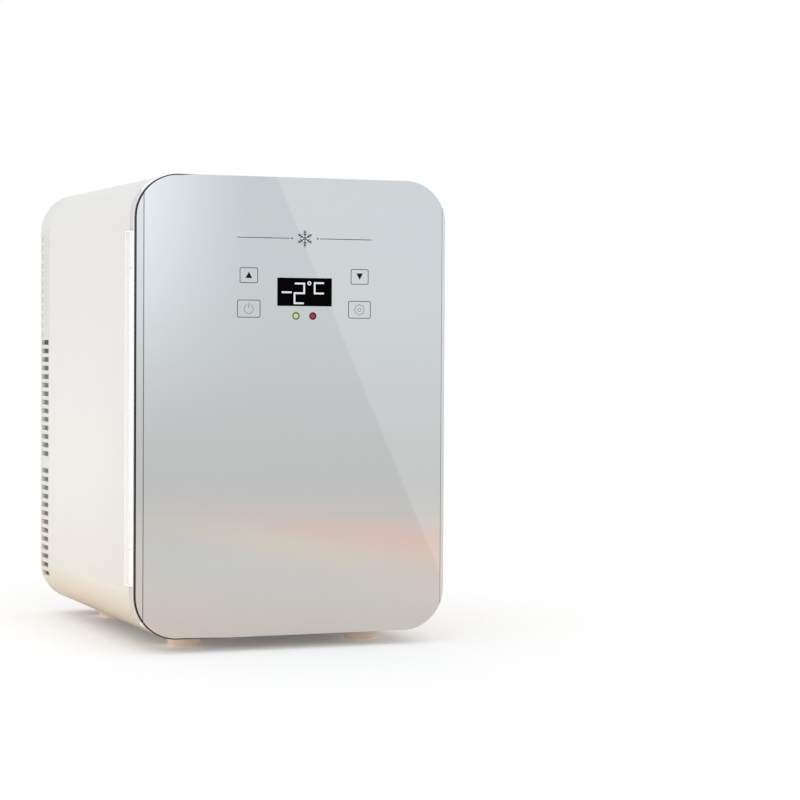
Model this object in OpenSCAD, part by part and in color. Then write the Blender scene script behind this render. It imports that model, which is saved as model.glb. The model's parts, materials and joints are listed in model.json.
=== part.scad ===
// Thermoelectric mini fridge with a hinged, glass-fronted door.
// Millimetres, +Z up, the door faces -Y. The origin is on the floor, under the middle of the cabinet.

/* [Cabinet] */
// Outer width of the cabinet and of the door
body_w = 280; // [276:1:286]
// Outer height of the cabinet, without its feet
body_h = 392; // [390:1:398]
// Overall depth, from the glass to the back
body_d = 345; // [345:1:352]
// Radius of the four long edges
edge_r = 37; // [32:1:40]
// Wall of the cabinet shell
shell_t = 3; // [2.6:0.1:3.2]
// Height of the feet
foot_h = 12; // [10:1:16]

/* [Door] */
// Thickness of the glass
glass_t = 4; // [3.6:0.1:4.2]
// Width of the bevel along the hinge side of the glass
bevel_w = 6.7; // [5:0.1:8]
// Width of the bevel along the free side of the glass
free_bevel_w = 3; // [2:0.1:8]
// Wall of the door frame
frame_t = 2.4; // [2:0.1:2.6]
// How far the middle of the control panel lies right of the door's middle
panel_x = 9.5; // [0:0.5:12]

/* [Hinge] */
// Radius of the hinge barrel and knuckles
barrel_r = 8.8; // [8:0.1:8.8]
// Length of each knuckle on the cabinet
knuckle_h = 30; // [24:1:34]
// Radius of the hinge pins
pin_r = 2.5; // [2.2:0.1:2.6]

/* [Vents] */
// Distance from one row of slots to the next
slot_pitch = 8.2; // [8:0.1:8.3]
// Height of a slot
slot_h = 4.6; // [3:0.1:5.5]

/* [Hidden] */
$fn = 64;
slip = 0.2;                            // gap between nested parts
mid_z = foot_h + body_h / 2;           // height of the door's middle

// Depths are counted back from the front of the glass.
seal_back = glass_t + 1.2;             // glass, black seal, then the door frame
door_back = 18.5;
seam = 19;                             // the hinge axis lies in this plane
body_front = 19.3;
column_back = 34;                      // the bezel's column, round the hinge recess
bezel_back = body_front + 3;
liner_back = 230;
bulkhead = [258, 260];
cover_front = 304.6;
cover_wall = 3;

// Mouth of the cold space
mouth_w = 212;
mouth_h = 332;
mouth_r = 22;
liner_t = 1.8;

// Hinge, on the left side
hinge_x = -body_w / 2 + barrel_r + 0.2;
column_in = hinge_x + 11.5;            // inner side of the solid column behind the hinge
knuckle_gap = 0.4;
hinge_z = [foot_h + 45.5, foot_h + 343];
barrel_z = [hinge_z[0] + knuckle_h + knuckle_gap, hinge_z[1] - knuckle_h - knuckle_gap];
lead_z = hinge_z[1] - 10;              // where the lead enters the upper knuckle
lead_r = 0.9;

// Finger recess in the door's free side, and the solid block round it
grip_in = 10.5;
grip_front = 9;
grip_half = 45;
grip_block = 14;

// Control panel, from its middle
display = [49.6, 24.2];
display_z = 98.2;
lamp_x = [-7.8, 7.5];
lamp_z = 77.7;
lamp_r = 3;
pad_x = 50.3;
pad_z = [112, 83.5];
board_z = [68, 124];

// Cooling units, one over the other
unit_z = [84, 208];
exhaust_fan_w = 119;
cold_fan_w = 80;
guard_r = 56.6;
fan_bolt = 52.5;

// Shelves and bins
shelf_z = [150, 262];
shelf_depth = [64, 190];
bin_z = [70, 226];
bin_depth = [20.5, 54];

// Feet
foot_x = 81;
foot_depth = [52, 284];

// Sockets and switch on the back, as x and height
ac_at = [68, 330];
dc_at = [14, 330];
switch_at = [-32, 330];
switch_tilt = 8;
post_at = [122, 172];                  // cover screws, from the middle on both axes

function dy(depth) = depth - body_d / 2;

// ---- shapes that repeat ----

module rounded(w, h, r) {
    square([w - 2 * r, h], center = true);
    square([w, h - 2 * r], center = true);
    for (x = [-1, 1], z = [-1, 1])
        translate([x * (w / 2 - r), z * (h / 2 - r)]) circle(r);
}

// A rounded rectangle in the door's plane, between two depths
module slab(w, h, r, from, to)
    translate([0, dy(to), mid_z]) rotate([90, 0, 0]) linear_extrude(to - from) rounded(w, h, r);

// The cabinet's own outline, drawn in by a distance
module outline(inset, from, to)
    slab(body_w - 2 * inset, body_h - 2 * inset, edge_r - inset, from, to);

// A box from its limits: x, depth and height
module block(x, depth, z)
    translate([x[0], dy(depth[0]), z[0]]) cube([x[1] - x[0], depth[1] - depth[0], z[1] - z[0]]);

// A round bar along the depth
module rod(x, z, r, depth)
    translate([x, dy(depth[1]), z]) rotate([90, 0, 0]) cylinder(h = depth[1] - depth[0], r = r);

// A round bar on the hinge axis
module on_axis(r, z)
    translate([hinge_x, dy(seam), z[0]]) cylinder(h = z[1] - z[0], r = r);

// A flat shape seen from above, with the hinge axis as its zero point
module beside_axis(points, z)
    translate([hinge_x, dy(seam), z[0]]) linear_extrude(z[1] - z[0]) polygon(points);

module both_sides() {
    children();
    mirror([1, 0, 0]) children();
}

// ---- cabinet ----

module cabinet_shell() color([0.92, 0.91, 0.89]) difference() {
    outline(0, body_front, cover_front);
    outline(shell_t, body_front - 1, cover_front + 1);
    block([-body_w, column_in + 1], [body_front - 1, column_back + 0.2], [hinge_z[0] - 2, hinge_z[1] + 2]);
    for (x = [-foot_x, foot_x], depth = foot_depth)
        translate([x, dy(depth), foot_h - 1]) cylinder(h = shell_t + 4, r = 2.2);
}

module knuckle(z) {
    on_axis(barrel_r, z);
    beside_axis([[0, 0], [11, 0.3], [11, 15], [5, 15]], z);
}

// Face frame round the mouth, with the hinge recess and its two knuckles
module front_bezel() color([0.96, 0.96, 0.96]) difference() {
    union() {
        difference() {
            union() {
                outline(shell_t + 0.1, body_front, bezel_back);
                block([-body_w / 2, column_in + 0.8], [body_front, column_back],
                      [hinge_z[0] - 1.8, hinge_z[1] + 1.8]);
            }
            slab(mouth_w, mouth_h, mouth_r, body_front - 1, bezel_back + 1);
            on_axis(barrel_r + 0.4, hinge_z);
            beside_axis([[-10, -1], [-10, 12.7], [2.6, 9.5], [barrel_r + 0.4, 0], [barrel_r + 0.4, -1]],
                        hinge_z);
        }
        knuckle([hinge_z[0] - 1, barrel_z[0] - knuckle_gap]);
        knuckle([barrel_z[1] + knuckle_gap, hinge_z[1] + 1]);
    }
    on_axis(pin_r, [hinge_z[0] + 2, barrel_z[0]]);
    on_axis(pin_r, [barrel_z[1], hinge_z[1] - 2]);
    lead_run(lead_r + 0.2);
    block([mouth_w / 2 + 9, mouth_w / 2 + 19], [body_front - 1, body_front + 1.2], [mid_z - 20, mid_z + 20]);
}

module strike_plate() color([0.75, 0.76, 0.78])
    block([mouth_w / 2 + 9, mouth_w / 2 + 19], [body_front + 0.05, body_front + 1.2],
          [mid_z - 20, mid_z + 20]);

module inner_liner() color([0.9, 0.91, 0.92]) {
    difference() {
        union() {
            slab(mouth_w + 2 * liner_t, mouth_h + 2 * liner_t, mouth_r + liner_t, bezel_back, liner_back);
            slab(mouth_w + 16, mouth_h + 16, mouth_r + 8, bezel_back, bezel_back + liner_t);
        }
        slab(mouth_w, mouth_h, mouth_r, bezel_back - 1, liner_back - liner_t);
        for (z = unit_z) block([-30, 30], [liner_back - 5, liner_back + 1], [z - 30, z + 30]);
        rod(-70, 300, 3.1, [liner_back - 5, liner_back + 1]);
    }
    for (z = shelf_z) both_sides() block([mouth_w / 2 - 7, mouth_w / 2 + 0.5], [60, 194], [z - 4, z]);
}

module cabinet_insulation() color([0.93, 0.88, 0.7]) difference() {
    outline(shell_t + slip, bezel_back + liner_t + slip, bulkhead[0] - slip);
    slab(mouth_w + 2 * liner_t + 2 * slip, mouth_h + 2 * liner_t + 2 * slip, mouth_r + liner_t + slip,
         bezel_back, liner_back + slip);
    block([-body_w, column_in + 1.2], [0, column_back + 0.4], [hinge_z[0] - 2.2, hinge_z[1] + 2.2]);
    for (z = unit_z) block([-30, 30], [liner_back - 5, bulkhead[0] + 1], [z - 30, z + 30]);
    rod(-70, 300, 2, [liner_back - 5, bulkhead[0] + 1]);
    for (x = [-foot_x, foot_x], depth = foot_depth)
        translate([x, dy(depth), foot_h]) cylinder(h = 12, r = 2.4);
    lead_run(lead_r + 0.2);
}

module rear_bulkhead() color([0.55, 0.57, 0.6]) difference() {
    union() {
        outline(shell_t + slip, bulkhead[0], bulkhead[1]);
        for (x = [-1, 1], z = [-1, 1])
            rod(x * post_at[0], mid_z + z * post_at[1], 5, [bulkhead[0], body_d - cover_wall]);
    }
    for (z = unit_z) block([-20, 20], [bulkhead[0] - 1, bulkhead[1] + 1], [z - 20, z + 20]);
    rod(-70, 300, 2, [bulkhead[0] - 1, bulkhead[1] + 1]);
    for (x = [-1, 1], z = [-1, 1])
        rod(x * post_at[0], mid_z + z * post_at[1], 1.6, [body_d - 22, body_d]);
    lead_run(lead_r + 0.2);
}

// ---- rear cover and its guards ----

// Back end of the cabinet's outline, with its last edge rounded over in three facets
module rear_cover_form() {
    edge = 4;
    outline(0, cover_front, body_d - edge);
    for (step = [0 : 2]) {
        a = 30 * step;
        b = a + 30;
        hull() {
            outline(edge * (1 - cos(a)), body_d - edge * (1 - sin(a)) - 0.05, body_d - edge * (1 - sin(a)));
            outline(edge * (1 - cos(b)), body_d - edge * (1 - sin(b)) - 0.05, body_d - edge * (1 - sin(b)));
        }
    }
}

// Rows of slots beside the two exhaust fans, with one row left out between them
module vent_rows() {
    top = foot_h + 249.1;
    for (row = [0 : 27]) if (row != 14) both_sides() {
        z = top - row * slot_pitch;
        block([body_w / 2 - 9, body_w / 2 + 1], [309.3, 336], [z - slot_h / 2, z + slot_h / 2]);
        if (row < 27)              // the lowest row would run into the cover screw
            block([body_w / 2 - 24, body_w / 2 - 9.5], [340.5, body_d + 1],
                  [z - slot_h / 2, z + slot_h / 2]);
        block([body_w / 2 - 1.8, body_w / 2 + 1], [340.5, body_d + 1], [z - slot_h / 2, z + slot_h / 2]);
    }
    for (row = [1 : 12]) both_sides() {
        z = top + row * slot_pitch;
        block([body_w / 2 - 0.6, body_w / 2 + 1], [309.3, 336], [z - slot_h / 2, z + slot_h / 2]);
    }
}

module rear_cover() color([0.9, 0.9, 0.88]) difference() {
    union() {
        difference() {
            rear_cover_form();
            outline(2.8, cover_front - 1, body_d - cover_wall);
        }
        fan_posts();
    }
    vent_rows();
    for (z = unit_z) rod(0, z, guard_r + 0.1, [cover_front, body_d + 1]);
    block([ac_at[0] - 14, ac_at[0] + 14], [body_d - 9, body_d + 1], [ac_at[1] - 10.5, ac_at[1] + 10.5]);
    block([dc_at[0] - 12, dc_at[0] + 12], [body_d - 9, body_d + 1], [dc_at[1] - 8, dc_at[1] + 8]);
    block([switch_at[0] - 7, switch_at[0] + 7], [body_d - 9, body_d + 1],
          [switch_at[1] - 10.5, switch_at[1] + 10.5]);
    for (x = [-1, 1], z = [-1, 1]) {
        rod(x * post_at[0], mid_z + z * post_at[1], 1.9, [body_d - 9, body_d + 1]);
        rod(x * post_at[0], mid_z + z * post_at[1], 4, [body_d - 1.6, body_d + 1]);
    }
}

// Posts that the exhaust fans clip onto
module fan_posts()
    for (x = [-fan_bolt, fan_bolt], z = unit_z, up = [-fan_bolt, fan_bolt]) {
        rod(x, z + up, 4, [337, body_d - cover_wall + 0.5]);
        rod(x, z + up, 2, [316, 338]);
    }

module rear_cover_screws() color([0.7, 0.7, 0.72])
    for (x = [-1, 1], z = [-1, 1]) difference() {
        union() {
            rod(x * post_at[0], mid_z + z * post_at[1], 1.6, [body_d - 20, body_d - 1.5]);
            rod(x * post_at[0], mid_z + z * post_at[1], 3.7, [body_d - 1.6, body_d - 0.2]);
        }
        for (slot = [[2.3, 0.45], [0.45, 2.3]])
            block([x * post_at[0] - slot[0], x * post_at[0] + slot[0]], [body_d - 1.1, body_d + 1],
                  [mid_z + z * post_at[1] - slot[1], mid_z + z * post_at[1] + slot[1]]);
    }

// Round guard in the rear cover, centred on a fan
module fan_guard(z) color([0.88, 0.88, 0.86]) {
    for (r = [guard_r : -9.6 : 16]) difference() {
        rod(0, z, r, [body_d - 3.4, body_d - 0.4]);
        rod(0, z, r - 2.6, [body_d - 4, body_d]);
    }
    rod(0, z, 10.6, [body_d - 3.4, body_d - 0.4]);
    for (turn = [45 : 90 : 315]) translate([0, dy(body_d - 3.2), z]) rotate([0, turn, 0])
        translate([9, 0, -1.4]) cube([guard_r - 10.6, 2.6, 2.8]);
}

module fan_guard_upper() fan_guard(unit_z[1]);

module fan_guard_lower() fan_guard(unit_z[0]);

// ---- fans ----

// Square frame with a round duct; struts at its back carry the motor plate and the shaft
module fan_frame(z, w, depth, duct_r, hub_r, bolts) color([0.16, 0.16, 0.17]) {
    back = depth[1];
    difference() {
        translate([0, dy(back), z]) rotate([90, 0, 0]) linear_extrude(back - depth[0]) rounded(w, w, 4);
        rod(0, z, duct_r, [depth[0] - 1, back + 1]);
        for (x = [-1, 1], up = [-1, 1])
            rod(x * bolts / 2, z + up * bolts / 2, 2.15, [depth[0] - 1, back + 1]);
    }
    rod(0, z, hub_r, [back - 2.4, back]);
    rod(0, z, 1.5, [depth[0] + 2, back - 1]);
    for (turn = [0 : 90 : 270]) translate([0, dy(back - 2.4), z]) rotate([0, turn, 0])
        translate([hub_r - 1.5, 0, -1.6]) cube([duct_r - hub_r + 2.4, 2.4, 3.2]);
}

// Hub and pitched blades, turning on the frame's shaft
module fan_rotor(z, r, hub_r, depth, blades) color([0.22, 0.22, 0.24]) difference() {
    thick = depth[1] - depth[0];
    union() {
        rod(0, z, hub_r, depth);
        intersection() {
            rod(0, z, r, [depth[0] + 1, depth[1] - 1]);
            for (blade = [0 : blades - 1]) translate([0, dy((depth[0] + depth[1]) / 2), z])
                rotate([0, blade * 360 / blades, 0]) translate([hub_r - 2, 0, 0]) rotate([38, 0, 0])
                    translate([0, -thick, -0.8]) cube([r, 2 * thick, 1.6]);
        }
    }
    rod(0, z, 1.56, [depth[0] - 1, depth[1] + 1]);
}

module exhaust_fan_frame_upper() fan_frame(unit_z[1], exhaust_fan_w, [312, 337], 57, 20, 2 * fan_bolt);

module exhaust_fan_frame_lower() fan_frame(unit_z[0], exhaust_fan_w, [312, 337], 57, 20, 2 * fan_bolt);

module exhaust_fan_rotor_upper() fan_rotor(unit_z[1], 55.5, 19, [314, 334], 7);

module exhaust_fan_rotor_lower() fan_rotor(unit_z[0], 55.5, 19, [314, 334], 7);

module cold_fan_frame_upper() fan_frame(unit_z[1], cold_fan_w, [198, 210], 38, 14, 71.5);

module cold_fan_frame_lower() fan_frame(unit_z[0], cold_fan_w, [198, 210], 38, 14, 71.5);

module cold_fan_rotor_upper() fan_rotor(unit_z[1], 36.8, 13, [199, 207.2], 7);

module cold_fan_rotor_lower() fan_rotor(unit_z[0], 36.8, 13, [199, 207.2], 7);

// ---- cooling units ----

module fins(z, w, h, count, depth, t)
    for (fin = [0 : count - 1]) {
        x = -w / 2 + fin * (w - t) / (count - 1);
        block([x, x + t], depth, [z - h / 2, z + h / 2]);
    }

module heat_sink(z) color([0.75, 0.76, 0.78]) {
    block([-56, 56], [bulkhead[1] + 2, bulkhead[1] + 8], [z - 55, z + 55]);
    fins(z, 112, 110, 17, [bulkhead[1] + 7.5, 308], 1.4);
}

module heat_sink_upper() heat_sink(unit_z[1]);

module heat_sink_lower() heat_sink(unit_z[0]);

module cold_sink(z) color([0.78, 0.79, 0.8]) {
    block([-40, 40], [224, liner_back - liner_t], [z - 40, z + 40]);
    fins(z, 80, 80, 13, [212, 224.5], 1.4);
}

module cold_sink_upper() cold_sink(unit_z[1]);

module cold_sink_lower() cold_sink(unit_z[0]);

module thermoelectric_modules() color([0.93, 0.93, 0.9])
    for (z = unit_z) block([-20, 20], [bulkhead[0], bulkhead[1] + 2], [z - 20, z + 20]);

module cold_blocks() color([0.8, 0.81, 0.82])
    for (z = unit_z) block([-30, 30], [liner_back - liner_t, bulkhead[0]], [z - 30, z + 30]);

duct = [196, liner_back - liner_t];       // depths of the cold air cover
duct_z = [42.2, 262];
duct_wall = 1.6;

module cold_air_cover() color([0.95, 0.95, 0.95]) {
    difference() {
        block([-62, 62], duct, duct_z);
        block([-62 + duct_wall, 62 - duct_wall], [duct[0] + duct_wall, duct[1] + 1],
              [duct_z[0] + duct_wall, duct_z[1] - duct_wall]);
        for (z = unit_z) rod(0, z, 36, [duct[0] - 1, duct[0] + 3]);
        for (side = [-61, 61], slot = [0 : 8])
            block([side - 2, side + 2], [206, 222], [60 + slot * 20, 68 + slot * 20]);
    }
    for (z = unit_z) {
        for (r = [30, 22, 14]) difference() {
            rod(0, z, r, [duct[0] + 0.1, duct[0] + duct_wall - 0.1]);
            rod(0, z, r - 1.8, [duct[0] - 1, duct[0] + 3]);
        }
        rod(0, z, 6, [duct[0] + 0.1, duct[0] + duct_wall - 0.1]);
        for (turn = [30 : 60 : 330]) translate([0, dy(duct[0] + 0.3), z]) rotate([0, turn, 0])
            translate([5, 0, -0.9]) cube([31.7, duct_wall - 0.6, 1.8]);
    }
}

module temperature_probe() color([0.85, 0.85, 0.87]) {
    rod(-70, 300, 3, [206, liner_back]);
    rod(-70, 300, 1.6, [liner_back - 1, bulkhead[1] + 4]);
}

// ---- shelves, loose on the liner's ledges ----

module shelf(z) color([0.82, 0.86, 0.9, 0.6]) difference() {
    block([-mouth_w / 2 + 1, mouth_w / 2 - 1], shelf_depth, [z, z + 4.5]);
    for (slot = [0 : 10])
        block([slot * 18 - 95, slot * 18 - 85], [shelf_depth[0] + 12, shelf_depth[1] - 12], [z - 1, z + 6]);
}

module shelf_upper() shelf(shelf_z[1]);

module shelf_lower() shelf(shelf_z[0]);

// ---- feet ----

module foot(x, depth) color([0.62, 0.56, 0.52])
    translate([x, dy(depth), 0]) difference() {
        cylinder(h = foot_h, r1 = 13.5, r2 = 17.5);
        translate([0, 0, -1]) cylinder(h = foot_h - 4, r = 6);
        cylinder(h = foot_h + 1, r = 2);
    }

module foot_front_left() foot(-foot_x, foot_depth[0]);

module foot_front_right() foot(foot_x, foot_depth[0]);

module foot_rear_left() foot(-foot_x, foot_depth[1]);

module foot_rear_right() foot(foot_x, foot_depth[1]);

module foot_screws() color([0.7, 0.7, 0.72])
    for (x = [-foot_x, foot_x], depth = foot_depth) translate([x, dy(depth), foot_h - 7.4]) {
        cylinder(h = 2.4, r = 4.4);
        cylinder(h = 17, r = 2);
    }

// ---- power electronics and sockets ----

module power_board() color([0.1, 0.4, 0.25])
    block([-105, 105], [266, 267.6], [284, 382]);

module power_board_parts() color([0.85, 0.75, 0.3]) {
    block([20, 62], [267.6, 296], [300, 340]);
    block([-36, -14], [267.6, 288], [290, 330]);
    for (x = [-90, -72, -54]) rod(x, 350, 7.5, [267.6, 297]);
    block([70, 98], [267.6, 284], [345, 368]);
    block([-98, -60], [267.6, 276], [292, 312]);
}

module power_heat_sink() color([0.72, 0.73, 0.75]) {
    block([-20, 10], [267.6, 270.4], [340, 378]);
    for (fin = [0 : 5]) block([-20 + fin * 5.6, -18 + fin * 5.6], [270, 292], [340, 378]);
}

// Socket housing with a flange behind the cover and a hollow for the plug
module socket(at, half, hollow, reach) color([0.08, 0.08, 0.08]) difference() {
    union() {
        block([at[0] - half[0], at[0] + half[0]], [body_d - reach, body_d - 0.6],
              [at[1] - half[1], at[1] + half[1]]);
        block([at[0] - half[0] - 2, at[0] + half[0] + 2], [body_d - cover_wall - 2, body_d - cover_wall],
              [at[1] - half[1] - 2, at[1] + half[1] + 2]);
    }
    block([at[0] - hollow[0], at[0] + hollow[0]], [body_d - hollow[2], body_d + 1],
          [at[1] - hollow[1], at[1] + hollow[1]]);
}

module ac_inlet() socket(ac_at, [13.8, 10.3], [12, 8.5, 18], 28);

module dc_inlet() socket(dc_at, [11.8, 7.8], [10, 6, 16], 26);

module inlet_pins() color([0.85, 0.83, 0.75]) {
    for (pin = [[-7, -1], [0, 3], [7, -1]])
        block([ac_at[0] + pin[0] - 1, ac_at[0] + pin[0] + 1], [body_d - 18, body_d - 4],
              [ac_at[1] + pin[1] - 2, ac_at[1] + pin[1] + 2]);
    for (x = [-4.5, 4.5]) rod(dc_at[0] + x, dc_at[1], 1.5, [body_d - 16, body_d - 4]);
}

module switch_body() difference() {
    socket(switch_at, [6.8, 10.3], [5.2, 9, 13], 22);
    switch_axle(1.56, 6);
}

module switch_axle(r, reach)
    translate([switch_at[0] - reach, dy(body_d - 7), switch_at[1]]) rotate([0, 90, 0])
        cylinder(h = 2 * reach, r = r);

// At rest the rocker's upper half is pressed in.
module switch_rocker() color([0.1, 0.1, 0.1]) {
    translate([switch_at[0] - 4.9, dy(body_d - 7), switch_at[1]]) rotate([switch_tilt, 0, 0])
        rotate([90, 0, 90]) linear_extrude(9.8)
            polygon([[-2.4, -7.6], [5.4, -7.6], [4, 0], [5.4, 7.6], [-2.4, 7.6]]);
    switch_axle(1.5, 5.8);
}

// ---- leads ----

// From the upper knuckle into the foam, back along it and through the bulkhead
module lead_run(r) {
    x = column_in + 4;
    out = seam + 2.8;
    rod(hinge_x, lead_z, r, [seam, out]);
    translate([hinge_x, dy(out), lead_z]) sphere(r);
    translate([hinge_x, dy(out), lead_z]) rotate([0, 90, 0]) cylinder(h = x - hinge_x, r = r);
    translate([x, dy(out), lead_z]) sphere(r);
    rod(x, lead_z, r, [out, bulkhead[1] + 4]);
}

module cabinet_lead() color([0.15, 0.15, 0.16]) {
    lead_run(lead_r);
    on_axis(lead_r, [lead_z - 7.6, lead_z + lead_r]);
}

// Between the display board and the hollow upper pin
module door_lead() color([0.15, 0.15, 0.16]) {
    z = barrel_z[1] - 28;
    translate([hinge_x, dy(11.5), z]) rotate([0, 90, 0]) cylinder(h = panel_x - 58 - hinge_x, r = lead_r);
    translate([hinge_x, dy(11.5), z]) sphere(lead_r);
    rod(hinge_x, z, lead_r, [11.5, seam]);
    translate([hinge_x, dy(seam), z]) sphere(lead_r);
    on_axis(lead_r, [z, lead_z - 8]);
}

module hinge_pin_upper() color([0.72, 0.73, 0.75]) difference() {
    on_axis(pin_r, [barrel_z[1] - 20, hinge_z[1] - 2]);
    on_axis(lead_r + 0.3, [barrel_z[1] - 21, hinge_z[1]]);
    block([hinge_x - 1.2, hinge_x + 4], [seam, seam + 4.2], [lead_z - 1.3, lead_z + 1.3]);
}

module hinge_pin_lower() color([0.72, 0.73, 0.75])
    on_axis(pin_r, [hinge_z[0] + 2, barrel_z[0] + 20]);

// ---- door ----

// What the cabinet's corner sweeps through beside the hinge as the door opens
module hinge_relief(z)
    beside_axis([[-10, 1], [-10, -12.6], [2.6, -9.4], [0.4, 0], [0.4, 1]], z);

module knuckle_pocket(z) {
    on_axis(barrel_r + 0.4, z);
    beside_axis([[-10, 1], [-10, -9.2], [0, -9.2], [0, 1]], z);
}

module grip_solid(gap)
    block([body_w / 2 - grip_block - gap, body_w], [0, 30],
          [mid_z - grip_half - 7 - gap, mid_z + grip_half + 7 + gap]);

module door_frame() color([0.96, 0.96, 0.96]) {
    difference() {
        union() {
            outline(0, seal_back, door_back);
            on_axis(barrel_r, barrel_z);
        }
        difference() {
            outline(frame_t, seal_back + frame_t, door_back + 1);
            block([-body_w, column_in], [0, 30], [0, 500]);
            grip_solid(0);
        }
        hinge_relief([0, hinge_z[0] + 0.6]);
        hinge_relief([hinge_z[1] - 0.6, 500]);
        knuckle_pocket([hinge_z[0] - 1.4, barrel_z[0] + 0.01]);
        knuckle_pocket([barrel_z[1] - 0.01, hinge_z[1] + 1.4]);
        on_axis(pin_r + 0.06, [barrel_z[0] - 1, barrel_z[0] + 20.5]);
        on_axis(pin_r + 0.06, [barrel_z[1] - 20.5, barrel_z[1] + 1]);
        on_axis(1.4, [barrel_z[1] - 30, barrel_z[1]]);
        rod(hinge_x, barrel_z[1] - 28, 1.4, [10, seam]);
        translate([hinge_x - 1, dy(11.5), barrel_z[1] - 28]) rotate([0, 90, 0]) cylinder(h = 20, r = 1.4);
        block([panel_x - 60, panel_x + 60], [0, seal_back + frame_t + 1],
              [mid_z + board_z[0] + 2, mid_z + board_z[1] - 2]);
        block([body_w / 2 - grip_in, body_w], [grip_front, 30], [mid_z - grip_half, mid_z + grip_half]);
    }
    for (x = [-59, 59], z = board_z)
        rod(panel_x + x, mid_z + z, 3.2, [seal_back + frame_t - 0.1, 9]);
}

module bevelled_glass() {
    side = body_w / 2;
    line = side - bevel_w;
    free = side - free_bevel_w;
    intersection() {
        outline(0, 0, glass_t);
        translate([0, -body_d / 2, foot_h - 1]) linear_extrude(body_h + 2) polygon([
            [-side - 1, 0.7], [-line, 0.05], [-line + 0.15, 0.45], [-line + 0.5, 0.45], [-line + 0.7, 0],
            [free - 0.7, 0], [free - 0.5, 0.45], [free - 0.15, 0.45], [free, 0.05], [side + 1, 0.7],
            [side + 1, glass_t + 1], [-side - 1, glass_t + 1]]);
    }
}

module glass_panel() color([0.8, 0.82, 0.84]) difference() {
    bevelled_glass();
    display_cut(0, [-1, glass_t + 1]);
    for (x = lamp_x) rod(panel_x + x, mid_z + lamp_z, lamp_r, [-1, glass_t + 1]);
}

module display_cut(inset, depth)
    block([panel_x - display[0] / 2 + inset, panel_x + display[0] / 2 - inset], depth,
          [mid_z + display_z - display[1] / 2 + inset, mid_z + display_z + display[1] / 2 - inset]);

module glass_seal() color([0.06, 0.06, 0.07]) difference() {
    outline(0.3, glass_t, seal_back);
    outline(4, glass_t - 1, seal_back + 1);
}

plug = [mouth_w - 8, mouth_h - 8, mouth_r - 4];

module door_liner() color([0.93, 0.93, 0.94]) difference() {
    union() {
        difference() {
            outline(frame_t + slip, 16.5, door_back);
            block([-body_w, column_in + slip], [0, 30], [0, 500]);
            grip_solid(slip);
        }
        slab(plug[0], plug[1], plug[2], door_back - 0.5, 27);
    }
    slab(plug[0] - 6, plug[1] - 6, plug[2] - 3, bin_depth[0], 28);
    gasket_form(0.1, 17.1, 19);
    block([115.5, 124.5], [16, 19], [mid_z - 18, mid_z + 18]);
}

module gasket_form(grow, from, to) difference() {
    slab(mouth_w + 14 + 2 * grow, mouth_h + 14 + 2 * grow, mouth_r + 7, from, to);
    slab(plug[0] + 4 - 2 * grow, plug[1] + 4 - 2 * grow, plug[2] + 2, from - 1, to + 1);
}

module door_gasket() color([0.87, 0.88, 0.88])
    gasket_form(0, 17.1, 19.1);

module door_magnet() color([0.2, 0.2, 0.21])
    block([115.5, 124.5], [15, 18.4], [mid_z - 18, mid_z + 18]);

module door_insulation() color([0.93, 0.88, 0.7]) difference() {
    outline(frame_t + slip, seal_back + frame_t + slip, 16.3);
    block([-body_w, column_in + slip], [0, 30], [0, 500]);
    grip_solid(slip);
    block([panel_x - 66, panel_x + 66], [0, 13], [mid_z + board_z[0] - 5, mid_z + board_z[1] + 5]);
    block([115, 125], [14.5, 19], [mid_z - 19, mid_z + 19]);
    translate([column_in - 2, dy(11.5), barrel_z[1] - 28]) rotate([0, 90, 0]) cylinder(h = 80, r = 1.4);
}

// Open-topped bin, its back against the door liner
module door_bin(z) color([0.85, 0.88, 0.92, 0.6]) difference() {
    block([-96, 92], bin_depth, [z, z + 52]);
    block([-94, 90], [bin_depth[0] + 2, bin_depth[1] - 2], [z + 2, z + 53]);
    block([-70, 66], [bin_depth[1] - 3, bin_depth[1] + 1], [z + 34, z + 53]);
}

module door_bin_upper() door_bin(bin_z[1]);

module door_bin_lower() door_bin(bin_z[0]);

// ---- control panel ----

module display_board() color([0.1, 0.4, 0.25])
    block([panel_x - 62, panel_x + 62], [9, 10.6], [mid_z + board_z[0] - 3, mid_z + board_z[1] + 3]);

module display_lens() color([0.02, 0.02, 0.02]) difference() {
    display_cut(0, [0.3, 9]);
    digits(0.2, 1);
}

module indicator(x) rod(panel_x + x, mid_z + lamp_z, lamp_r, [0.2, 9]);

module indicator_green() color([0.75, 0.85, 0.4]) indicator(lamp_x[0]);

module indicator_red() color([0.75, 0.1, 0.1]) indicator(lamp_x[1]);

module touch_pads() color([0.8, 0.75, 0.5])
    for (x = [-pad_x, pad_x], z = pad_z) difference() {
        rod(panel_x + x, mid_z + z, 5, [seal_back - 0.8, 9]);
        rod(panel_x + x, mid_z + z, 4, [0, 10]);
    }

// A bar of the read-out, from its lower left corner
module bar(x, z, w, h, depth)
    block([panel_x + x, panel_x + x + w], depth, [mid_z + display_z + z, mid_z + display_z + z + h]);

// Reads minus two degrees Celsius.
module digits(from, to) {
    depth = [from, to];
    t = 1.5;
    bar(-20.7, -1.1, 9, t, depth);
    bar(-8.8, 6.5, 9.2, t, depth);
    bar(-1.1, -1.8, t, 9.8, depth);
    bar(-9.9, -1.8, 10.3, t, depth);
    bar(-9.9, -10.4, t, 10.1, depth);
    bar(-9.9, -10.4, 9.1, t, depth);
    difference() {
        rod(panel_x + 4.3, mid_z + display_z + 7.6, 1.8, depth);
        rod(panel_x + 4.3, mid_z + display_z + 7.6, 0.7, [from - 1, to + 1]);
    }
    bar(8.4, 7.1, 9.2, t, depth);
    bar(8.4, -1.8, t, 10.4, depth);
    bar(8.4, -1.8, 9.2, t, depth);
}

module display_digits() color([0.92, 0.97, 1]) digits(0.2, 1);

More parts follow.
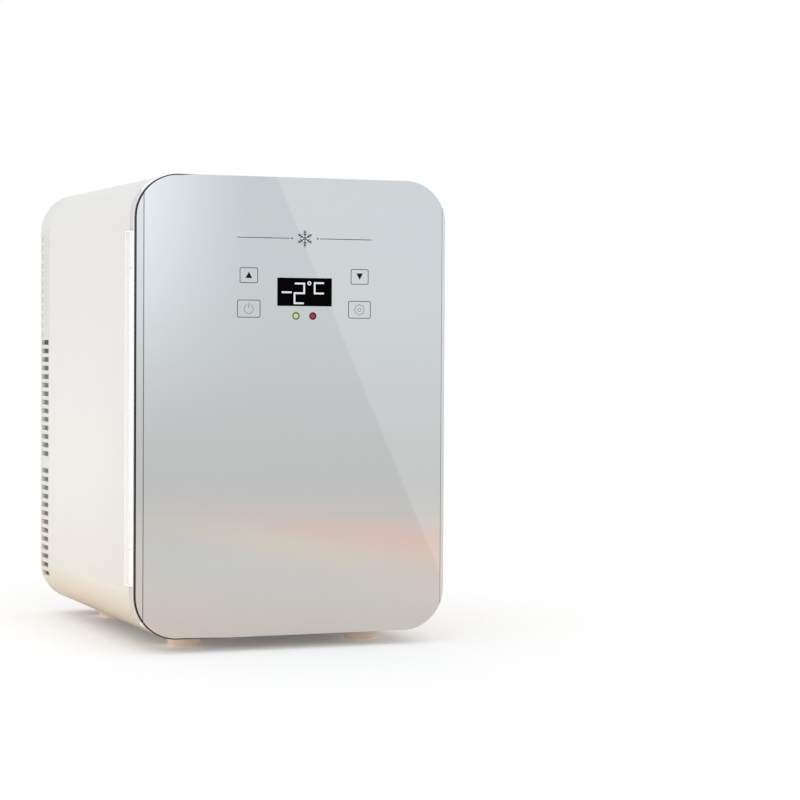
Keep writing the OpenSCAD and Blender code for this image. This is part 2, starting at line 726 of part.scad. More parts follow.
cabinet_shell();
front_bezel();
inner_liner();
cabinet_insulation();
rear_bulkhead();
rear_cover();
fan_guard_upper();
fan_guard_lower();
rear_cover_screws();
exhaust_fan_frame_upper();
exhaust_fan_frame_lower();
exhaust_fan_rotor_upper();
exhaust_fan_rotor_lower();
heat_sink_upper();
heat_sink_lower();
thermoelectric_modules();
cold_blocks();
cold_sink_upper();
cold_sink_lower();
cold_fan_frame_upper();
cold_fan_frame_lower();
cold_fan_rotor_upper();
cold_fan_rotor_lower();
cold_air_cover();
temperature_probe();
shelf_upper();
shelf_lower();
foot_front_left();
foot_front_right();
foot_rear_left();
foot_rear_right();
foot_screws();
power_board();
power_board_parts();
power_heat_sink();
ac_inlet();
dc_inlet();
inlet_pins();
switch_body();
switch_rocker();
cabinet_lead();
strike_plate();
hinge_pin_upper();
hinge_pin_lower();
door_frame();
glass_panel();
glass_seal();
door_liner();
door_insulation();
door_gasket();
door_magnet();
door_bin_upper();
door_bin_lower();
display_board();
display_lens();
display_digits();
indicator_green();
indicator_red();
touch_pads();
door_lead();
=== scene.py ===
"""Looks of the mini fridge: materials, fine moulded detail, printed panel, studio and camera."""
import json
import math

import bmesh
import bpy
from mathutils import Matrix, Vector


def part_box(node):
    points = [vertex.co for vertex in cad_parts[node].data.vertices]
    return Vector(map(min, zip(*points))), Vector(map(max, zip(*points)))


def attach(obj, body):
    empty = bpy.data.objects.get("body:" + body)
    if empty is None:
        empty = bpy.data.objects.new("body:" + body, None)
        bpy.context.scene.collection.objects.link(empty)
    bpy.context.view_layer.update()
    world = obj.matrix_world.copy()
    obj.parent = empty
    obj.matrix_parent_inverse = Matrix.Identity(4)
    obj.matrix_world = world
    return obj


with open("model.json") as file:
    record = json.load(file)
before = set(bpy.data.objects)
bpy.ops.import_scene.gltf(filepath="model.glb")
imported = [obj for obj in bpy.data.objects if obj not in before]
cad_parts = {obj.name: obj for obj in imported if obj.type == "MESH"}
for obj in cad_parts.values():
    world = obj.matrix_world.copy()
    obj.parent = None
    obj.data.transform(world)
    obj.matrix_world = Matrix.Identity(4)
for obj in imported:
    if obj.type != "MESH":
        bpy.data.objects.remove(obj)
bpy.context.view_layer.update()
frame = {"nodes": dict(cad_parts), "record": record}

MM = 0.001
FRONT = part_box("glass_panel")[0].y          # the plane of the glass
MID_Z = (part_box("glass_panel")[0].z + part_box("glass_panel")[1].z) / 2         # half way up the door
PANEL_X = (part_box("display_lens")[0].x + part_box("display_lens")[1].x) / 2     # the control panel's middle


# ---- shaders ----

def srgb(r, g, b):
    """A colour given in display values from 0 to 255, as linear light."""
    def linear(value):
        value /= 255
        return value / 12.92 if value <= 0.04045 else ((value + 0.055) / 1.055) ** 2.4
    return linear(r), linear(g), linear(b), 1.0


def grey(level):
    """A neutral colour, given as linear light"""
    return level, level, level, 1.0


def shade(colour, factor):
    """The same colour, darker or lighter"""
    return tuple(min(1.0, c * factor) for c in colour[:3]) + (1.0,)


class Shader:
    """One material's node tree, with short ways to add and join nodes."""

    def __init__(self, name):
        self.material = bpy.data.materials.new(name)
        self.material.use_nodes = True
        self.tree = self.material.node_tree
        self.surface = self.tree.nodes["Principled BSDF"]
        self.places = self.node("ShaderNodeTexCoord")

    def node(self, kind, **settings):
        made = self.tree.nodes.new(kind)
        for key, value in settings.items():
            setattr(made, key, value)
        return made

    def join(self, value, socket):
        if isinstance(value, (int, float, tuple)):
            socket.default_value = value
        else:
            self.tree.links.new(value, socket)

    def noise(self, scale, detail=3.0, stretch=None):
        made = self.node("ShaderNodeTexNoise")
        made.inputs["Scale"].default_value = scale
        made.inputs["Detail"].default_value = detail
        source = self.places.outputs["Object"]
        if stretch:
            mapping = self.node("ShaderNodeMapping")
            mapping.inputs["Scale"].default_value = stretch
            self.join(source, mapping.inputs["Vector"])
            source = mapping.outputs["Vector"]
        self.join(source, made.inputs["Vector"])
        return made.outputs["Fac"]

    def span(self, value, start, end, low, high):
        """value, moved from the range start to end to the range low to high"""
        made = self.node("ShaderNodeMapRange")
        for key, amount in (("From Min", start), ("From Max", end), ("To Min", low), ("To Max", high)):
            made.inputs[key].default_value = amount
        self.join(value, made.inputs["Value"])
        return made.outputs["Result"]

    def smooth(self, value, start, end, low, high):
        """As span, but easing in and out"""
        result = self.span(value, start, end, low, high)
        result.node.interpolation_type = "SMOOTHSTEP"
        return result

    def mix(self, factor, a, b):
        made = self.node("ShaderNodeMix", data_type="RGBA")
        self.join(factor, made.inputs["Factor"])
        self.join(a, [i for i in made.inputs if i.name == "A" and i.type == "RGBA"][0])
        self.join(b, [i for i in made.inputs if i.name == "B" and i.type == "RGBA"][0])
        return [o for o in made.outputs if o.type == "RGBA"][0]

    def calc(self, operation, *values):
        made = self.node("ShaderNodeMath", operation=operation)
        for socket, value in zip(made.inputs, values):
            self.join(value, socket)
        return made.outputs["Value"]

    def parts(self, vector):
        made = self.node("ShaderNodeSeparateXYZ")
        self.join(vector, made.inputs["Vector"])
        return made.outputs["X"], made.outputs["Y"], made.outputs["Z"]

    def bump(self, height, strength, distance=0.0001):
        made = self.node("ShaderNodeBump")
        made.inputs["Strength"].default_value = strength
        made.inputs["Distance"].default_value = distance
        self.join(height, made.inputs["Height"])
        self.join(made.outputs["Normal"], self.surface.inputs["Normal"])

    def edges(self):
        """High on worn convex edges"""
        point = self.node("ShaderNodeNewGeometry").outputs["Pointiness"]
        return self.span(point, 0.51, 0.57, 0.0, 1.0)

    def set(self, **values):
        for key, value in values.items():
            self.surface.inputs[key.replace("_", " ")].default_value = value
        return self


def plastic(name, colour, roughness=0.35, grain=1200.0, grain_depth=0.05, **values):
    """Moulded plastic: faint colour drift, uneven gloss, fine grain and slightly paler edges"""
    s = Shader(name)
    base = s.mix(s.noise(7.0, 3.0), colour, shade(colour, 0.96))
    s.join(s.mix(s.edges(), base, shade(colour, 1.04)), s.surface.inputs["Base Color"])
    s.join(s.span(s.noise(35.0, 3.0), 0.2, 0.8, roughness * 0.9, roughness * 1.1),
           s.surface.inputs["Roughness"])
    s.bump(s.noise(grain, 2.0), grain_depth)
    return s.set(**values).material


def metal(name, colour, roughness=0.3, stretch=(1.0, 1.0, 25.0)):
    """Drawn or plated metal with fine streaks"""
    s = Shader(name)
    streaks = s.noise(70.0, 4.0, stretch)
    s.join(s.mix(streaks, shade(colour, 0.85), colour), s.surface.inputs["Base Color"])
    s.join(s.span(streaks, 0.3, 0.7, roughness * 0.8, roughness * 1.25), s.surface.inputs["Roughness"])
    s.bump(streaks, 0.06)
    return s.set(Metallic=1.0).material


def clear(name, colour, roughness=0.12):
    """Clear moulded polystyrene"""
    s = Shader(name)
    s.join(s.mix(s.noise(6.0), colour, shade(colour, 0.96)), s.surface.inputs["Base Color"])
    s.join(s.span(s.noise(30.0, 4.0), 0.3, 0.7, roughness * 0.8, roughness * 1.3),
           s.surface.inputs["Roughness"])
    s.bump(s.noise(400.0, 2.0), 0.03)
    return s.set(Transmission_Weight=0.8, IOR=1.5).material


def lit(name, colour, strength):
    """A lamp or read-out that glows nearly evenly, with a faint fine mottle"""
    s = Shader(name)
    glow = s.mix(s.noise(500.0, 2.0), colour, shade(colour, 0.92))
    s.join(glow, s.surface.inputs["Base Color"])
    s.join(glow, s.surface.inputs["Emission Color"])
    s.join(s.span(s.noise(60.0), 0.3, 0.7, 0.3, 0.4), s.surface.inputs["Roughness"])
    return s.set(Emission_Strength=strength).material


def foam(name, colour):
    """Rigid foam: matt and finely pitted"""
    s = Shader(name)
    cells = s.node("ShaderNodeTexVoronoi")
    cells.inputs["Scale"].default_value = 700.0
    s.join(s.places.outputs["Object"], cells.inputs["Vector"])
    s.join(s.mix(cells.outputs["Distance"], colour, shade(colour, 0.8)), s.surface.inputs["Base Color"])
    s.bump(cells.outputs["Distance"], 0.5, 0.0004)
    return s.set(Roughness=0.9).material


def silvered_glass():
    """Glass with a silver back. Its cut edge, which turns away from the front, is dark."""
    s = Shader("silvered_glass")
    towards_front = s.parts(s.places.outputs["Normal"])[1]
    faces_front = s.span(s.calc("ABSOLUTE", towards_front), 0.5, 0.9, 0.0, 1.0)
    silver = s.mix(s.noise(3.0, 3.0), srgb(246, 248, 249), srgb(243, 246, 247))
    s.join(s.mix(faces_front, srgb(30, 33, 36), silver), s.surface.inputs["Base Color"])
    s.join(faces_front, s.surface.inputs["Metallic"])
    s.join(s.span(s.noise(14.0, 3.0), 0.3, 0.7, 0.025, 0.045), s.surface.inputs["Roughness"])
    return s.set(IOR=1.08).material


def make_materials():
    """The finish for each material slot of the record"""
    return {
        "shell_white": plastic("shell_white", srgb(231, 230, 227), 0.33, 50.0, 0.02,
                               Coat_Weight=0.25, Coat_Roughness=0.12),
        # frame_white's faint emission is painted light: a glow that lifts the frame's shaded sides, the hinge
        # barrel's among them, to white
        "frame_white": plastic("frame_white", srgb(253, 253, 253), 0.24, 50.0, 0.02,
                               Coat_Weight=0.3, Coat_Roughness=0.1,
                               Emission_Color=srgb(253, 253, 253), Emission_Strength=0.06),
        "cover_white": plastic("cover_white", srgb(232, 231, 228), 0.42, 700.0, 0.04),
        "liner_grey": plastic("liner_grey", srgb(226, 229, 231), 0.33,
                              Coat_Weight=0.2, Coat_Roughness=0.15),
        "liner_white": plastic("liner_white", srgb(240, 241, 242), 0.33),
        "foam": foam("foam", srgb(232, 214, 168)),
        "bulkhead_grey": plastic("bulkhead_grey", srgb(150, 152, 156), 0.45),
        "steel": metal("steel", srgb(190, 192, 196), 0.36),
        "fan_black": plastic("fan_black", srgb(34, 34, 36), 0.45, 600.0, 0.12),
        "rotor_grey": plastic("rotor_grey", srgb(52, 52, 56), 0.4, 600.0, 0.1),
        "aluminium": metal("aluminium", srgb(205, 207, 210), 0.38, (1.0, 30.0, 1.0)),
        "ceramic_white": plastic("ceramic_white", srgb(240, 240, 234), 0.5),
        "shelf_clear": clear("shelf_clear", srgb(232, 240, 246)),
        "bin_clear": clear("bin_clear", srgb(232, 240, 246)),
        # foot_rubber's emission is painted light: a glow that brightens the feet in the shade under the
        # fridge
        "foot_rubber": plastic("foot_rubber", srgb(250, 234, 218), 0.45, 500.0, 0.05,
                               Emission_Color=srgb(250, 232, 214), Emission_Strength=0.13),
        "board_green": plastic("board_green", srgb(28, 96, 58), 0.4, 300.0, 0.2),
        "component": plastic("component", srgb(196, 160, 66), 0.45),
        "socket_black": plastic("socket_black", srgb(28, 28, 29), 0.4, 700.0, 0.12),
        "rocker_black": plastic("rocker_black", srgb(24, 24, 25), 0.22, Coat_Weight=0.3),
        "contact_brass": metal("contact_brass", srgb(214, 190, 128), 0.36),
        "lead_black": plastic("lead_black", srgb(30, 30, 32), 0.5),
        "mirror_glass": silvered_glass(),
        "seal_black": plastic("seal_black", srgb(22, 23, 25), 0.55),
        "gasket_grey": plastic("gasket_grey", srgb(224, 226, 227), 0.55, 500.0, 0.1),
        "magnet_black": plastic("magnet_black", srgb(40, 40, 42), 0.6),
        "display_black": plastic("display_black", srgb(3, 3, 4), 0.34, 900.0, 0.01,
                                 Specular_IOR_Level=0.02),
        "digit_white": lit("digit_white", srgb(228, 236, 242), 0.22),
        "lamp_green": lit("lamp_green", srgb(203, 218, 148), 0.2),
        "lamp_red": lit("lamp_red", srgb(162, 40, 40), 0.2),
    }


def make_inks():
    """Screen-printing inks of the control panel, and one grey that is painted shade along the glass's bevel
    """
    colours = {
        # (112, 118, 122) is no printing ink but painted shade, laid along the groove at the glass's bevel
        "grey": (70, 76, 80), "black": (14, 15, 17), "painted_shadow": (112, 118, 122),
        "pale": (150, 155, 158), "olive": (84, 102, 42), "maroon": (76, 14, 16),
    }
    return {name: plastic("ink_" + name, srgb(*colour), 0.5, 900.0, 0.01, Specular_IOR_Level=0.1)
            for name, colour in colours.items()}


# ---- shapes ----

SHARP_ANGLE = math.radians(28)              # shading stays crisp where faces meet more sharply than this
SOFTEN_ANGLE = math.radians(40)             # and edges sharper than this are rounded


def dress(node, material, soften):
    """Gives a CAD node its material, smooth faces and edges rounded by soften millimetres"""
    piece = frame["nodes"][node]
    piece.data.materials.clear()
    piece.data.materials.append(material)
    for face in piece.data.polygons:
        face.use_smooth = True
        face.material_index = 0
    piece.data.set_sharp_from_angle(angle=SHARP_ANGLE)
    if soften:
        bevel = piece.modifiers.new("soft_edges", "BEVEL")
        bevel.width = soften * MM
        bevel.segments = 3
        bevel.limit_method = "ANGLE"
        bevel.angle_limit = SOFTEN_ANGLE
        bevel.harden_normals = True


SOFTENED = {                                # how far each node's edges are rounded, in millimetres
    "cabinet_shell": 0.8, "front_bezel": 0.6, "inner_liner": 3.0, "rear_cover": 0.3, "door_frame": 0.5,
    "glass_panel": 0.3, "door_liner": 1.0, "cold_air_cover": 0.8, "shelf_upper": 1.2, "shelf_lower": 1.2,
    "door_bin_upper": 0.8, "door_bin_lower": 0.8, "display_lens": 0.15, "ac_inlet": 0.5, "dc_inlet": 0.5,
    "switch_body": 0.4, "switch_rocker": 0.6, "foot_front_left": 1.0, "foot_front_right": 1.0,
    "foot_rear_left": 1.0, "foot_rear_right": 1.0, "exhaust_fan_frame_upper": 0.6,
    "exhaust_fan_frame_lower": 0.6, "cold_fan_frame_upper": 0.4, "cold_fan_frame_lower": 0.4,
    "strike_plate": 0.2, "rear_cover_screws": 0.15, "heat_sink_upper": 0.2, "heat_sink_lower": 0.2,
    "fan_guard_upper": 0.7, "fan_guard_lower": 0.7, "power_board_parts": 0.6, "indicator_green": 0.2,
    "indicator_red": 0.2, "door_gasket": 0.6,
}


def dress_all(finish):
    """finish holds a material for each slot of the record"""
    for part in frame["record"]["subparts"]:
        node = part["node"]
        dress(node, finish[part["material_slot"]], SOFTENED.get(node, 0.0))


def finish_form(name, form, material, body):
    """Turns a bmesh into a piece that rides on a body"""
    bmesh.ops.recalc_face_normals(form, faces=form.faces)
    mesh = bpy.data.meshes.new(name)
    form.to_mesh(mesh)
    form.free()
    mesh.materials.append(material)
    piece = bpy.data.objects.new(name, mesh)
    bpy.context.collection.objects.link(piece)
    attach(piece, body)


def join_rows(form, rows, closed=True):
    """Walls between each row of points and the next, and from the last row back to the first.
    closed joins the ends of every row too; otherwise a cap ends the band at each side."""
    count = len(rows[0])
    for i in range(count if closed else count - 1):
        j = (i + 1) % count
        for a, b in zip(rows, rows[1:] + rows[:1]):
            form.faces.new((a[i], a[j], b[j], b[i]))
    if not closed:
        form.faces.new([row[0] for row in rows])
        form.faces.new([row[-1] for row in reversed(rows)])


# ---- printing on the glass, and painted shade along its bevel ----

INK_FRONT, INK_BACK = -0.035, 0.005         # the ink's two faces, measured back from the glass


class Print:
    """One ink's marks on the glass, as thin closed pieces. Places are in millimetres on the door:
    x from the middle of the control panel, z up from the middle of the door."""

    def __init__(self, name, ink):
        self.name, self.ink = name, ink
        self.form = bmesh.new()

    def layer(self, points, depth):
        """depth is behind the plane of the glass, as one value or as a rule for each x"""
        at = depth if callable(depth) else lambda x: depth
        return [self.form.verts.new((PANEL_X + x * MM, FRONT + at(x) * MM, MID_Z + z * MM))
                for x, z in points]

    def patch(self, points):
        """A filled outline"""
        front, back = self.layer(points, INK_FRONT), self.layer(points, INK_BACK)
        self.form.faces.new(front)
        self.form.faces.new(back[::-1])
        for i in range(len(points)):
            j = (i + 1) % len(points)
            self.form.faces.new((front[j], front[i], back[i], back[j]))

    def ring(self, outer, inner, closed=True, front=INK_FRONT, back=INK_BACK):
        """The band between two outlines of as many points"""
        rows = [self.layer(outer, front), self.layer(inner, front),
                self.layer(inner, back), self.layer(outer, back)]
        join_rows(self.form, rows, closed)

    def stroke(self, start, end, width):
        """A straight line"""
        along = Vector((end[0] - start[0], end[1] - start[1])).normalized()
        side = Vector((-along.y, along.x)) * width / 2
        a, b = Vector(start), Vector(end)
        self.patch([tuple(p) for p in (a + side, b + side, b - side, a - side)])

    def done(self):
        finish_form(self.name, self.form, self.ink, "door")


def arc(x, z, radius, start, end, steps):
    """Points on a circle from one angle to another, in degrees"""
    turns = [math.radians(start + (end - start) * i / steps) for i in range(steps + 1)]
    return [(x + radius * math.cos(t), z + radius * math.sin(t)) for t in turns]


def key_outline(x, z, w, h, r):
    """A rectangle with rounded corners"""
    points = []
    for side, up, start in ((1, 1, 0), (-1, 1, 90), (-1, -1, 180), (1, -1, 270)):
        points += arc(x + side * (w / 2 - r), z + up * (h / 2 - r), r, start, start + 90, 5)
    return points


GLASS_W, GLASS_H = [(b - a) / MM for a, b in zip(*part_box("glass_panel"))][::2]
CORNER = 37.0                               # radius of the glass's corners
BEVEL = 6.7                                 # width of the bevel along the hinge side
KEY_X = 50.3                                # the keys' middles, to each side of the panel's
KEY_LINE = 0.62                             # width of a key's outline
KEY_CORNER = 1.6
UPPER_KEY = (111.9, 16.4, 13.3)             # height of the middle, width, height
LOWER_KEY = (83.5, 20.8, 15.2)
RIM_OUTER, RIM_INNER = 3.3, 2.3             # radii of the ring round a lamp
FLAKE_Z = 144.0


def key_frames(ink):
    """The outlines of the four keys"""
    frames = Print("key_frames", ink)
    for x in (-KEY_X, KEY_X):
        for z, w, h in (UPPER_KEY, LOWER_KEY):
            inner = key_outline(x, z, w - 2 * KEY_LINE, h - 2 * KEY_LINE, KEY_CORNER - KEY_LINE)
            frames.ring(key_outline(x, z, w, h, KEY_CORNER), inner)
    frames.done()


def arrows(ink):
    """Up and down arrows in the upper keys"""
    marks = Print("arrows", ink)
    half, low, high = 3.0, UPPER_KEY[0] - 2.4, UPPER_KEY[0] + 3.0
    marks.patch([(-KEY_X - half, low), (-KEY_X + half, low), (-KEY_X, high)])
    marks.patch([(KEY_X - half, high), (KEY_X, low), (KEY_X + half, high)])
    marks.done()


def key_symbols(ink):
    """A power sign and a gear in the lower keys"""
    marks = Print("key_symbols", ink)
    z = LOWER_KEY[0]
    half = 0.32                             # half of a line's width
    power_r, gap_start, gap_end = 4.0, 118, 422
    outer, inner = [arc(-KEY_X, z - 0.3, power_r + d, gap_start, gap_end, 30) for d in (half, -half)]
    marks.ring(outer, inner, False)
    marks.stroke((-KEY_X, z + 0.6), (-KEY_X, z + 4.8), 2 * half)
    gear_r, tooth, teeth, points_each = 4.3, 0.45, 8, 8
    outer, inner = [], []
    for i in range(teeth * points_each):
        t = 2 * math.pi * i / (teeth * points_each)
        reach = gear_r + tooth * max(-1.0, min(1.0, 2.2 * math.cos(teeth * t)))
        for outline, d in ((outer, half), (inner, -half)):
            outline.append((KEY_X + (reach + d) * math.cos(t), z + (reach + d) * math.sin(t)))
    marks.ring(outer, inner)
    hub_outer, hub_inner = 1.7, 1.15
    marks.ring(arc(KEY_X, z, hub_outer, 0, 345, 23), arc(KEY_X, z, hub_inner, 0, 345, 23))
    marks.done()


BEVEL_STEP, BEVEL_DROP = 0.05, 0.65         # how deep the bevel starts, and how much it deepens


def glass_slope(x):
    """How deep the bevel along the hinge side has brought the glass's face"""
    past = -(PANEL_X / MM + x) - (GLASS_W / 2 - BEVEL)
    return BEVEL_STEP + BEVEL_DROP * past / (BEVEL + 1) if past > 0 else 0.0


def edge_line(ink):
    """The black lip of the seal along the hinge side and round its corners, thin at both ends"""
    lip = Print("edge_line", ink)
    widest, inset, back = 0.95, 0.02, 0.02
    steps, top_step, low_step = 7, 2, 7     # the points of the two thin ends, and how far apart they are
    left, up = GLASS_W / 2 - CORNER, GLASS_H / 2 - CORNER
    path = [(-left + top_step * (steps - i), up + CORNER, 0, 1) for i in range(steps)]
    for z, start in ((up, 90), (-up, 180)):
        path += [(-left + CORNER * c, z + CORNER * d, c, d)
                 for c, d in arc(0, 0, 1, start, start + 90, 16)]
    path += [(-left + low_step * i, -up - CORNER, 0, -1) for i in range(1, steps)]
    middle = PANEL_X / MM
    outer, inner = [], []
    for i, (x, z, c, d) in enumerate(path):
        width = widest * min(1.0, 0.1 + i / steps, 0.1 + (len(path) - 1 - i) / (steps - 1))
        outer.append((x - middle - inset * c, z - inset * d))
        inner.append((x - middle - width * c, z - width * d))
    lip.ring(outer, inner, False, lambda x: glass_slope(x) + INK_FRONT, lambda x: glass_slope(x) + back)
    lip.done()


def bevel_groove_shade(ink):
    """Painted shade: a grey strip on the glass that stands for the shadow in the groove where the bevel meets
    the flat of the glass
    """
    line = Print("bevel_groove_shade", ink)
    width, slant, clearance = 0.6, 0.4, 1.2
    x = -(GLASS_W / 2 - BEVEL) - PANEL_X / MM
    reach = GLASS_H / 2 - CORNER + math.sqrt(CORNER ** 2 - (CORNER - BEVEL) ** 2) - clearance
    line.patch([(x, -reach), (x + width, -reach - slant), (x + width, reach + slant), (x, reach)])
    line.done()


def lamp_rim(name, lamp, ink):
    """The printed ring round an indicator lamp"""
    low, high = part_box(lamp)
    x = ((low.x + high.x) / 2 - PANEL_X) / MM
    z = ((low.z + high.z) / 2 - MID_Z) / MM
    rim = Print(name, ink)
    rim.ring(arc(x, z, RIM_OUTER, 0, 350, 35), arc(x, z, RIM_INNER, 0, 350, 35))
    rim.done()


def snowflake(ink):
    """A six-armed flake between two thin rules, over the display"""
    flake = Print("snowflake", ink)
    middle = Vector((0.0, FLAKE_Z))
    hub, reach, arm_line = 0.3, 7.2, 0.75
    barb_line, barb_angle = 0.6, 55
    for arm in range(6):
        t = math.radians(90 + 60 * arm)
        out = Vector((math.cos(t), math.sin(t)))
        flake.stroke(middle + out * hub, middle + out * reach, arm_line)
        for along, barb in ((3.0, 2.0), (5.0, 1.7)):
            for turn in (-barb_angle, barb_angle):
                root = middle + out * along
                tip = root + Matrix.Rotation(math.radians(turn), 2) @ out * barb
                flake.stroke(root, tip, barb_line)
    rule_start, rule_end, rule_line = 13.5, 61.0, 0.55
    dot_x, dot_r = 11.6, 0.9
    for side in (-1, 1):
        flake.stroke((side * rule_start, FLAKE_Z), (side * rule_end, FLAKE_Z), rule_line)
        flake.patch([(side * dot_x + a, FLAKE_Z + b)
                     for a, b in ((-dot_r, 0), (0, -dot_r), (dot_r, 0), (0, dot_r))])
    flake.done()


def add_prints(inks):
    key_frames(inks["grey"])
    arrows(inks["black"])
    key_symbols(inks["pale"])
    lamp_rim("green_rim", "indicator_green", inks["olive"])
    lamp_rim("red_rim", "indicator_red", inks["maroon"])
    snowflake(inks["black"])
    edge_line(inks["black"])
    # painted shade: a grey strip along the bevel's groove
    bevel_groove_shade(inks["painted_shadow"])


PIN_REACH = 20.0                            # how far each hinge pin goes into the door's barrel
SEAM_H = 0.3                                # a dark ring's thickness
SEAM_GAP = 0.05                             # from the end of the barrel to a dark ring
SEAM_INNER, SEAM_OUTER = 3.2, 8.6           # radii: clear of the pin, and just inside the knuckle


def hinge_seam_shade(material):
    """Painted shade in the gaps between the hinge's knuckles: thin dark rings round its pins"""
    low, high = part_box("hinge_pin_lower")
    axis_x, axis_y = (low.x + high.x) / 2, (low.y + high.y) / 2
    barrel_foot = high.z / MM - PIN_REACH
    barrel_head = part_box("hinge_pin_upper")[0].z / MM + PIN_REACH
    form = bmesh.new()
    for low_z in (barrel_foot - SEAM_GAP - SEAM_H, barrel_head + SEAM_GAP):
        high_z = low_z + SEAM_H
        rows = []
        for r, z in ((SEAM_INNER, low_z), (SEAM_OUTER, low_z),
                     (SEAM_OUTER, high_z), (SEAM_INNER, high_z)):
            circle = arc(0, 0, r, 0, 360, 48)[:-1]
            rows.append([form.verts.new((axis_x + x * MM, axis_y + y * MM, z * MM)) for x, y in circle])
        join_rows(form, rows)
    finish_form("hinge_seam_shade", form, material, "cabinet")


# ---- stage ----

def add_camera():
    """A low view from ahead of the door and to its left"""
    place = (-0.6775, -2.1176, 0.2675)
    turn, dip, roll = -0.3794, -0.0259, 0.0058      # in radians
    data = bpy.data.cameras.new("camera")
    data.lens = 108.1
    data.sensor_width = 36.0
    data.clip_end = 40.0
    camera = bpy.data.objects.new("camera", data)
    aim = Matrix.Rotation(turn, 4, "Z") @ Matrix.Rotation(math.pi / 2 + dip, 4, "X")
    camera.matrix_world = Matrix.Translation(place) @ aim @ Matrix.Rotation(roll, 4, "Z")
    bpy.context.collection.objects.link(camera)
    bpy.context.scene.camera = camera


def sheet(name, corners, material):
    """A flat four-cornered stage piece"""
    mesh = bpy.data.meshes.new(name)
    mesh.from_pydata(corners, [], [(0, 1, 2, 3)])
    mesh.materials.append(material)
    piece = bpy.data.objects.new(name, mesh)
    bpy.context.collection.objects.link(piece)
    return piece


def add_area_light(name, place, target, size, watts, colour=(1.0, 1.0, 1.0)):
    """A rectangular light that neither the camera nor the glass sees"""
    data = bpy.data.lights.new(name, "AREA")
    data.shape = "RECTANGLE"
    data.size, data.size_y = size
    data.energy = watts
    data.color = colour
    lamp = bpy.data.objects.new(name, data)
    aim = (Vector(target) - Vector(place)).to_track_quat("-Z", "Y").to_matrix().to_4x4()
    lamp.matrix_world = Matrix.Translation(place) @ aim
    lamp.visible_camera = False
    lamp.visible_glossy = False
    bpy.context.collection.objects.link(lamp)


class Sky(Shader):
    """The world's node tree, with the same short ways"""

    def __init__(self, name):
        self.world = bpy.data.worlds.new(name)
        self.world.use_nodes = True
        self.tree = self.world.node_tree
        self.surface = self.tree.nodes["Background"]
        self.places = self.node("ShaderNodeTexCoord")


def add_sky():
    """White all round, but grey ahead of the door, with a bright patch high on the door's left"""
    s = Sky("studio")
    x, y, z = s.parts(s.places.outputs["Generated"])
    forward = s.calc("MULTIPLY", y, -1.0)
    across = s.calc("DIVIDE", x, s.calc("MAXIMUM", forward, 0.05))
    # the room ahead of the door: warm grey low down, cool grey level with it, white high up
    warm_grey, cool_grey = (0.57, 0.565, 0.555, 1.0), (0.625, 0.65, 0.665, 1.0)
    room = s.mix(s.smooth(z, -0.07, 0.03, 0.0, 1.0), warm_grey, cool_grey)
    room = s.mix(s.smooth(z, 0.2, 0.55, 0.0, 1.0), room, grey(1.15))
    # a bright patch, fainter to its left, that ends softly on its right and at its foot
    above = s.smooth(z, -0.05, 0.075, 0.0, 1.0)
    patch = s.calc("MULTIPLY", s.smooth(across, 0.24, 0.335, 1.0, 0.0), above)
    patch = s.calc("MULTIPLY", patch, s.smooth(across, 0.1, 0.24, 0.45, 1.0))
    room = s.mix(patch, room, (1.06, 1.1, 1.13, 1.0))
    # everywhere else: white, a little darker overhead and on the hinge side
    elsewhere = s.mix(s.smooth(z, 0.15, 0.6, 0.0, 1.0), grey(1.0), grey(0.88))
    elsewhere = s.mix(s.smooth(x, -0.7, -0.2, 1.0, 0.0), elsewhere, grey(0.9))
    ahead = s.smooth(forward, 0.45, 0.85, 0.0, 1.0)
    s.join(s.mix(ahead, elsewhere, room), s.surface.inputs["Color"])
    bpy.context.scene.world = s.world


FLOOR_TINTS = (                             # middle, reach, colour and strength of each soft patch
    ((0.14, -1.0), (0.3, 1.2), srgb(214, 214, 213), 0.8),
    ((0.33, -1.25), (0.12, 0.55), srgb(230, 221, 198), 0.6),
    ((0.52, -1.25), (0.2, 0.85), srgb(244, 202, 188), 0.75),
)


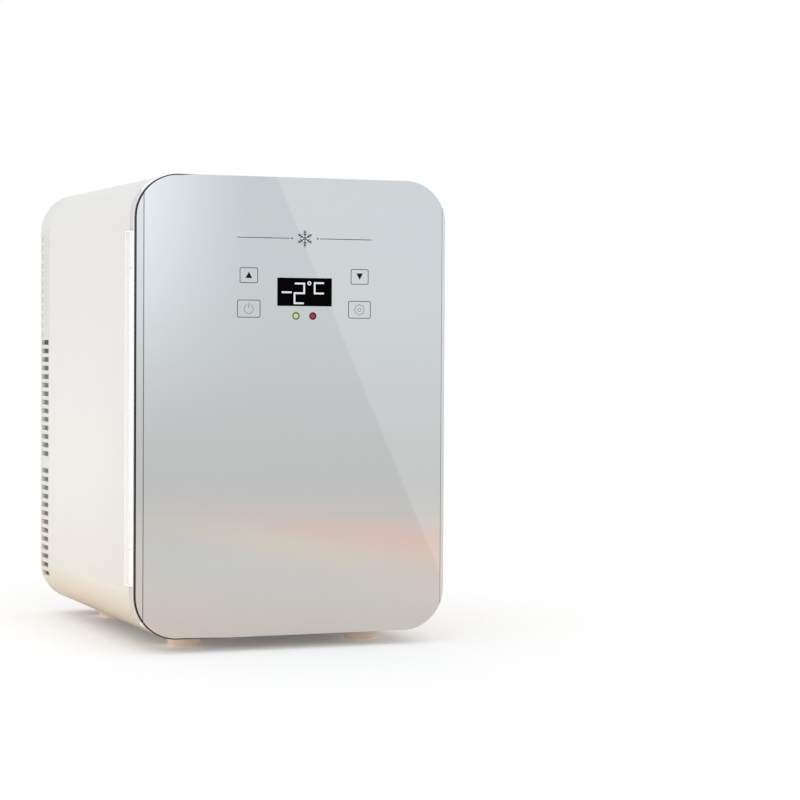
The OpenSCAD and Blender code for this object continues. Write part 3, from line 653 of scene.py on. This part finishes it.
def add_floor():
    """A pale table that fades out into the sky. It shows white, and throws warm light on the fridge."""
    s = Shader("studio_floor")
    seen = s.node("ShaderNodeLightPath").outputs["Is Camera Ray"]
    x, y = s.parts(s.places.outputs["Object"])[:2]
    thrown = s.mix(s.noise(1.6, 2.0), srgb(230, 217, 206), srgb(222, 210, 200))
    for at, size, colour, most in FLOOR_TINTS:
        off = [s.calc("POWER", s.calc("DIVIDE", s.calc("SUBTRACT", value, middle), reach), 2.0)
               for value, middle, reach in zip((x, y), at, size)]
        share = s.smooth(s.calc("SQRT", s.calc("ADD", *off)), 0.0, 1.0, most, 0.0)
        thrown = s.mix(share, thrown, colour)
    beside = s.mix(s.smooth(x, -0.3, -0.17, 0.0, 1.0), srgb(244, 242, 239), srgb(244, 222, 190))
    thrown = s.mix(s.smooth(x, -0.17, -0.1, 1.0, 0.0), thrown, beside)
    s.join(s.mix(seen, thrown, srgb(253, 253, 253)), s.surface.inputs["Base Color"])
    s.join(s.calc("MULTIPLY", seen, 0.13), s.surface.inputs["Emission Strength"])
    s.set(Roughness=0.9, Specular_IOR_Level=0.0)
    away = s.calc("SQRT", s.calc("ADD", s.calc("MULTIPLY", x, x), s.calc("MULTIPLY", y, y)))
    s.join(s.smooth(away, 0.9, 2.4, 1.0, 0.0), s.surface.inputs["Alpha"])
    side = 2.5
    sheet("studio_floor", [(-side, -side, 0), (side, -side, 0), (side, side, 0), (-side, side, 0)],
          s.material)


def add_glare():
    """A faint clear pane in front of the door: the edge of a window, as the glass mirrors it"""
    s = Shader("glare")
    glow = s.node("ShaderNodeEmission")
    s.join(s.mix(s.noise(0.5), grey(1.0), grey(0.98)), glow.inputs["Color"])
    glow.inputs["Strength"].default_value = 0.06
    both = s.node("ShaderNodeAddShader")
    s.join(s.node("ShaderNodeBsdfTransparent").outputs["BSDF"], both.inputs[0])
    s.join(glow.outputs["Emission"], both.inputs[1])
    s.join(both.outputs["Shader"], s.tree.nodes["Material Output"].inputs["Surface"])
    top, low = Vector((0.0784, 0.4223)), Vector((0.2555, 0.0258))       # x and z of the slanting edge
    lean = (top - low).normalized()
    foot, head = low - lean * 0.1, top + lean * 0.3
    y, wide = -0.45, 0.6
    pane = sheet("glare", [(foot.x, y, foot.y), (foot.x + wide, y, foot.y),
                           (head.x + wide, y, head.y), (head.x, y, head.y)], s.material)
    pane.visible_camera = False
    pane.visible_shadow = False


def add_studio():
    add_sky()
    add_floor()
    add_glare()
    add_area_light("low_light", (-0.45, 0.02, 0.05), (-0.14, 0.02, 0.05), (0.5, 0.1), 0.22,
                   (1.0, 0.97, 0.92))
    for side in (-1, 1):                    # behind the slots at each rear corner
        add_area_light("rear_glow", (side * 0.118, 0.142, 0.14), (side * 0.137, 0.166, 0.14),
                       (0.01, 0.23), 0.008)


bpy.context.scene.view_settings.view_transform = "Standard"
add_camera()
add_studio()
dress_all(make_materials())
inks = make_inks()
add_prints(inks)
# dark rings painted as the shade in the hinge's gaps
hinge_seam_shade(inks["black"])
